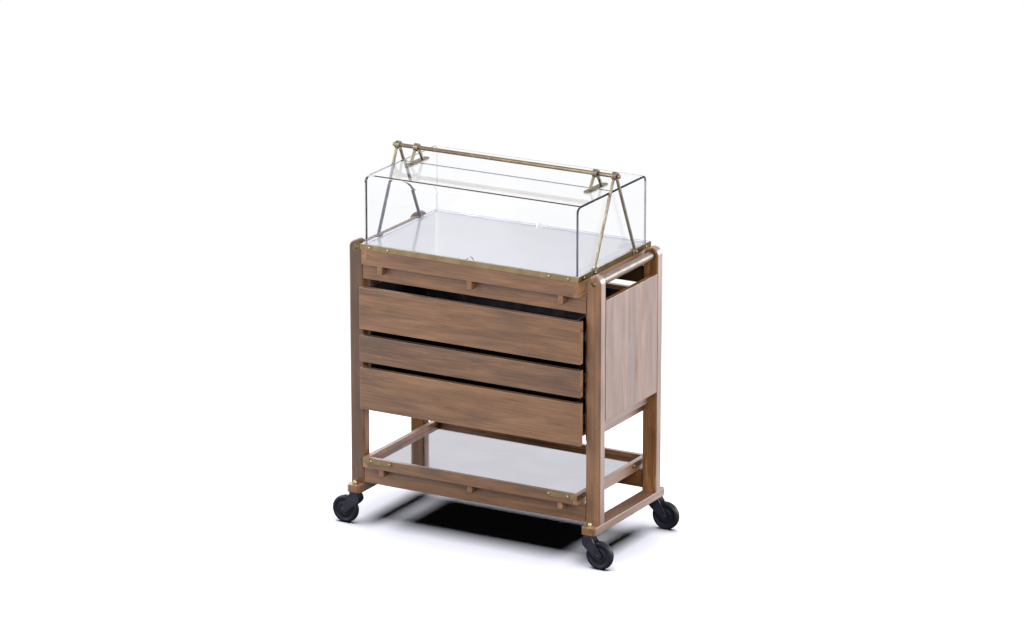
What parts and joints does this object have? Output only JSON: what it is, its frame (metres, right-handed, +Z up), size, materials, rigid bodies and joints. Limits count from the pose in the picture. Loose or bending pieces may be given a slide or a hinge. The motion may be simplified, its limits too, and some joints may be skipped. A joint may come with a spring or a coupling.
{
  "type": "dessert cart",
  "caption": "Timber dessert trolley on swivel casters with drawers, a lift-off lower tray, an upper tray under a clear two-lid cover, and a tube handle at each end.",
  "frame": {"origin": "on the floor under the middle of the cart", "axes": "X along the cart's length to its right end, Y from the drawers' side to the back, Z up"},
  "size_m": [0.956, 0.4536, 1.1475],
  "materials": {
    "frame_timber": "oiled walnut",
    "panel_timber": "oiled walnut",
    "drawer_timber": "oiled walnut",
    "tray_timber": "oiled walnut",
    "gloss_panel": "gloss",
    "clear_sheet": "clear acrylic",
    "antique_brass": "antiqued satin",
    "handle_metal": "brushed champagne",
    "box_steel": "brushed",
    "caster_fork": "satin charcoal",
    "caster_wheel": "matt charcoal"
  },
  "bodies": {
    "frame": {"post_front_left": "frame_timber", "post_front_right": "frame_timber", "post_rear_left": "frame_timber", "post_rear_right": "frame_timber", "skid_left": "frame_timber", "skid_right": "frame_timber", "side_panel_left": "panel_timber", "side_panel_right": "panel_timber", "side_rail_left": "frame_timber", "side_rail_right": "frame_timber", "upper_rail_front": "frame_timber", "upper_rail_rear": "frame_timber", "lower_rail_front": "frame_timber", "lower_rail_rear": "frame_timber", "back_panel": "panel_timber", "cabinet_side_left": "panel_timber", "cabinet_side_right": "panel_timber", "upper_bearers": "frame_timber", "lower_bearers": "frame_timber", "handle_left": "handle_metal", "handle_right": "handle_metal", "handle_bolts": "antique_brass", "caster_nuts": "antique_brass", "caster_stems": "caster_fork", "slide_channels": "box_steel"},
    "top_tray": {"top_tray_boards": "tray_timber", "top_tray_panel": "gloss_panel", "top_tray_edging": "antique_brass", "top_tray_screws": "antique_brass", "cover_end_left": "clear_sheet", "cover_end_right": "clear_sheet", "hinge_rod": "antique_brass", "a_frame_left": "antique_brass", "a_frame_right": "antique_brass"},
    "front_lid": {"front_lid": "clear_sheet", "front_lid_brackets": "antique_brass"},
    "rear_lid": {"rear_lid": "clear_sheet", "rear_lid_brackets": "antique_brass"},
    "lower_tray": {"lower_tray_boards": "tray_timber", "lower_tray_panel": "gloss_panel", "lower_tray_corners": "antique_brass", "lower_tray_screws": "antique_brass"},
    "upper_drawer": {"upper_drawer_front": "drawer_timber", "upper_drawer_box": "box_steel", "upper_drawer_runners": "box_steel"},
    "middle_drawer": {"middle_drawer_front": "drawer_timber", "middle_drawer_box": "box_steel", "middle_drawer_runners": "box_steel"},
    "lower_drawer": {"lower_drawer_front": "drawer_timber", "lower_drawer_box": "box_steel", "lower_drawer_runners": "box_steel"},
    "caster_fl": {"caster_fork_fl": "caster_fork"},
    "wheel_fl": {"caster_wheel_fl": "caster_wheel"},
    "caster_fr": {"caster_fork_fr": "caster_fork"},
    "wheel_fr": {"caster_wheel_fr": "caster_wheel"},
    "caster_rl": {"caster_fork_rl": "caster_fork"},
    "wheel_rl": {"caster_wheel_rl": "caster_wheel"},
    "caster_rr": {"caster_fork_rr": "caster_fork"},
    "wheel_rr": {"caster_wheel_rr": "caster_wheel"}
  },
  "joints": [
    {"name": "top_tray_lift", "type": "slide", "parent": "frame", "child": "top_tray", "axis": [0, 0, 1], "range_m": [0, 0.15]},
    {"name": "front_lid_hinge", "type": "hinge", "parent": "top_tray", "child": "front_lid", "pos_m": [0, 0, 1.1355], "axis": [1, 0, 0], "range_deg": [-100, 0]},
    {"name": "rear_lid_hinge", "type": "hinge", "parent": "top_tray", "child": "rear_lid", "pos_m": [0, 0, 1.1355], "axis": [1, 0, 0], "range_deg": [0, 100]},
    {"name": "lower_tray_lift", "type": "slide", "parent": "frame", "child": "lower_tray", "axis": [0, 0, 1], "range_m": [0, 0.1]},
    {"name": "upper_drawer_slide", "type": "slide", "parent": "frame", "child": "upper_drawer", "axis": [0, -1, 0], "range_m": [-0.0295, 0.22]},
    {"name": "middle_drawer_slide", "type": "slide", "parent": "frame", "child": "middle_drawer", "axis": [0, -1, 0], "range_m": [-0.0295, 0.22]},
    {"name": "lower_drawer_slide", "type": "slide", "parent": "frame", "child": "lower_drawer", "axis": [0, -1, 0], "range_m": [-0.0295, 0.22]},
    {"name": "swivel_fl", "type": "hinge", "parent": "frame", "child": "caster_fl", "pos_m": [-0.401, -0.2075, 0.09], "axis": [0, 0, 1], "continuous": true},
    {"name": "roll_fl", "type": "hinge", "parent": "caster_fl", "child": "wheel_fl", "pos_m": [-0.435, -0.2075, 0.043], "axis": [0, 1, 0], "continuous": true},
    {"name": "swivel_fr", "type": "hinge", "parent": "frame", "child": "caster_fr", "pos_m": [0.401, -0.2075, 0.09], "axis": [0, 0, 1], "continuous": true},
    {"name": "roll_fr", "type": "hinge", "parent": "caster_fr", "child": "wheel_fr", "pos_m": [0.435, -0.2075, 0.043], "axis": [0, 1, 0], "continuous": true},
    {"name": "swivel_rl", "type": "hinge", "parent": "frame", "child": "caster_rl", "pos_m": [-0.401, 0.2075, 0.09], "axis": [0, 0, 1], "continuous": true},
    {"name": "roll_rl", "type": "hinge", "parent": "caster_rl", "child": "wheel_rl", "pos_m": [-0.435, 0.2075, 0.043], "axis": [0, 1, 0], "continuous": true},
    {"name": "swivel_rr", "type": "hinge", "parent": "frame", "child": "caster_rr", "pos_m": [0.401, 0.2075, 0.09], "axis": [0, 0, 1], "continuous": true},
    {"name": "roll_rr", "type": "hinge", "parent": "caster_rr", "child": "wheel_rr", "pos_m": [0.435, 0.2075, 0.043], "axis": [0, 1, 0], "continuous": true}
  ]
}
